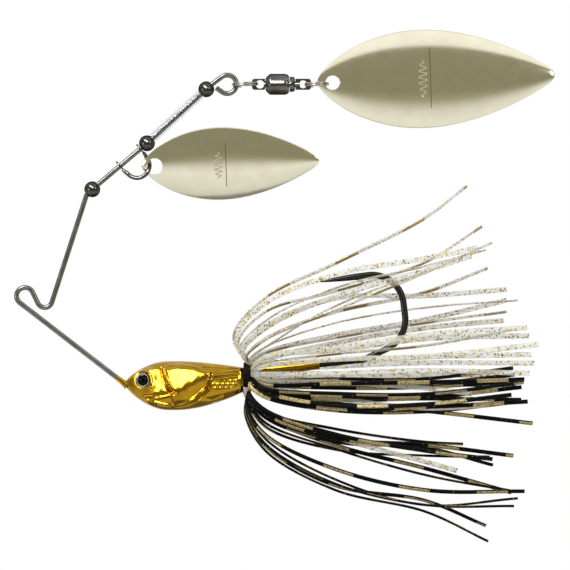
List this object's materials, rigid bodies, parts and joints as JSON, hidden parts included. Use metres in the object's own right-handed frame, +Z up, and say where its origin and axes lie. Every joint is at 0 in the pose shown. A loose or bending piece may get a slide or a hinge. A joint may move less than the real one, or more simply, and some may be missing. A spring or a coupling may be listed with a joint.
{
  "type": "spinnerbait",
  "caption": "Fishing lure: bent wire arm with swivelling willow-leaf blades above, and a weighted fish-shaped head with a skirted hook below.",
  "frame": {"origin": "centre of the line-tie bend of the wire, in the lure's middle plane", "axes": "+X towards the blade tips and hook bend, +Z up towards the blades, Y across the lure"},
  "size_m": [0.1081, 0.0296, 0.1034],
  "materials": {
    "wire": "bright drawn stainless wire",
    "head_gold": "mirror gold plating over cast metal",
    "hook_steel": "dark bright nickel plating",
    "eye_foil": "printed silver foil with a black pupil",
    "eye_lens": "clear moulded dome",
    "bead_metal": "polished black nickel",
    "sleeve_vinyl": "clear flexible vinyl tube",
    "clevis_nickel": "bright nickel plating",
    "blade_plate": "pale gold plating, polished",
    "ring_steel": "bright spring steel",
    "swivel_nickel": "bright nickel plating",
    "ball_steel": "polished bearing balls",
    "collar_rubber": "matt black rubber band",
    "skirt_clear": "clear silicone with gold flake and brown printed lines",
    "skirt_black": "black silicone with gold printed bars"
  },
  "bodies": {
    "frame": {"wire_form": "wire", "head_casting": "head_gold", "hook": "hook_steel", "left_eye_foil": "eye_foil", "right_eye_foil": "eye_foil", "left_eye_lens": "eye_lens", "right_eye_lens": "eye_lens", "skirt_collar": "collar_rubber", "skirt_clear_01": "skirt_clear", "skirt_clear_02": "skirt_clear", "skirt_clear_03": "skirt_clear", "skirt_clear_04": "skirt_clear", "skirt_clear_05": "skirt_clear", "skirt_clear_06": "skirt_clear", "skirt_clear_07": "skirt_clear", "skirt_clear_08": "skirt_clear", "skirt_black_01": "skirt_black", "skirt_black_02": "skirt_black", "skirt_black_03": "skirt_black", "skirt_black_04": "skirt_black", "skirt_black_05": "skirt_black", "skirt_black_06": "skirt_black", "skirt_black_07": "skirt_black", "skirt_black_08": "skirt_black"},
    "lower_bead": {"lower_bead": "bead_metal"},
    "middle_bead": {"middle_bead": "bead_metal"},
    "clevis": {"clevis": "clevis_nickel"},
    "small_blade": {"small_blade": "blade_plate"},
    "clear_sleeve": {"clear_sleeve": "sleeve_vinyl"},
    "upper_bead": {"upper_bead": "bead_metal"},
    "front_ring": {"front_ring": "ring_steel"},
    "swivel_barrel": {"swivel_barrel": "swivel_nickel", "front_eye_stem": "swivel_nickel"},
    "rear_eye": {"rear_eye_stem": "swivel_nickel", "swivel_end_bush": "swivel_nickel", "bearing_ball_1": "ball_steel", "bearing_ball_2": "ball_steel", "bearing_ball_3": "ball_steel", "bearing_ball_4": "ball_steel", "bearing_ball_5": "ball_steel", "bearing_ball_6": "ball_steel"},
    "rear_ring": {"rear_split_ring": "ring_steel"},
    "large_blade": {"large_blade": "blade_plate"}
  },
  "joints": [
    {"name": "lower_bead_spin", "type": "hinge", "parent": "frame", "child": "lower_bead", "pos_m": [0.01346, 0, 0.02134], "axis": [0.7654, 0, 0.6436], "continuous": true},
    {"name": "middle_bead_slide", "type": "slide", "parent": "frame", "child": "middle_bead", "axis": [-0.7654, 0, -0.6436], "range_m": [0, 0.005]},
    {"name": "clevis_spin", "type": "hinge", "parent": "middle_bead", "child": "clevis", "pos_m": [0.02104, 0, 0.02772], "axis": [0.7654, 0, 0.6436], "continuous": true},
    {"name": "small_blade_swing", "type": "hinge", "parent": "clevis", "child": "small_blade", "pos_m": [0.0249, 0, 0.0259], "axis": [0, 1, 0], "range_deg": [-2, 25]},
    {"name": "clear_sleeve_spin", "type": "hinge", "parent": "frame", "child": "clear_sleeve", "pos_m": [0.03033, 0, 0.03594], "axis": [0.7394, 0, 0.6733], "continuous": true},
    {"name": "upper_bead_spin", "type": "hinge", "parent": "frame", "child": "upper_bead", "pos_m": [0.03626, 0, 0.04134], "axis": [0.7394, 0, 0.6733], "continuous": true},
    {"name": "front_ring_swing", "type": "hinge", "parent": "frame", "child": "front_ring", "pos_m": [0.04145, 0, 0.04234], "axis": [0, 1, 0], "range_deg": [-25, 8]},
    {"name": "swivel_swing", "type": "hinge", "parent": "front_ring", "child": "swivel_barrel", "pos_m": [0.044, 0, 0.04234], "axis": [0, 0, 1], "range_deg": [-25, 25]},
    {"name": "rear_eye_spin", "type": "hinge", "parent": "swivel_barrel", "child": "rear_eye", "pos_m": [0.05162, 0, 0.04234], "axis": [1, 0, 0], "continuous": true},
    {"name": "rear_ring_swing", "type": "hinge", "parent": "rear_eye", "child": "rear_ring", "pos_m": [0.056, 0, 0.04234], "axis": [0, 1, 0], "range_deg": [-15, 15]},
    {"name": "large_blade_flap", "type": "hinge", "parent": "rear_ring", "child": "large_blade", "pos_m": [0.05835, 0, 0.04234], "axis": [0, 0, 1], "range_deg": [-20, 20]}
  ]
}
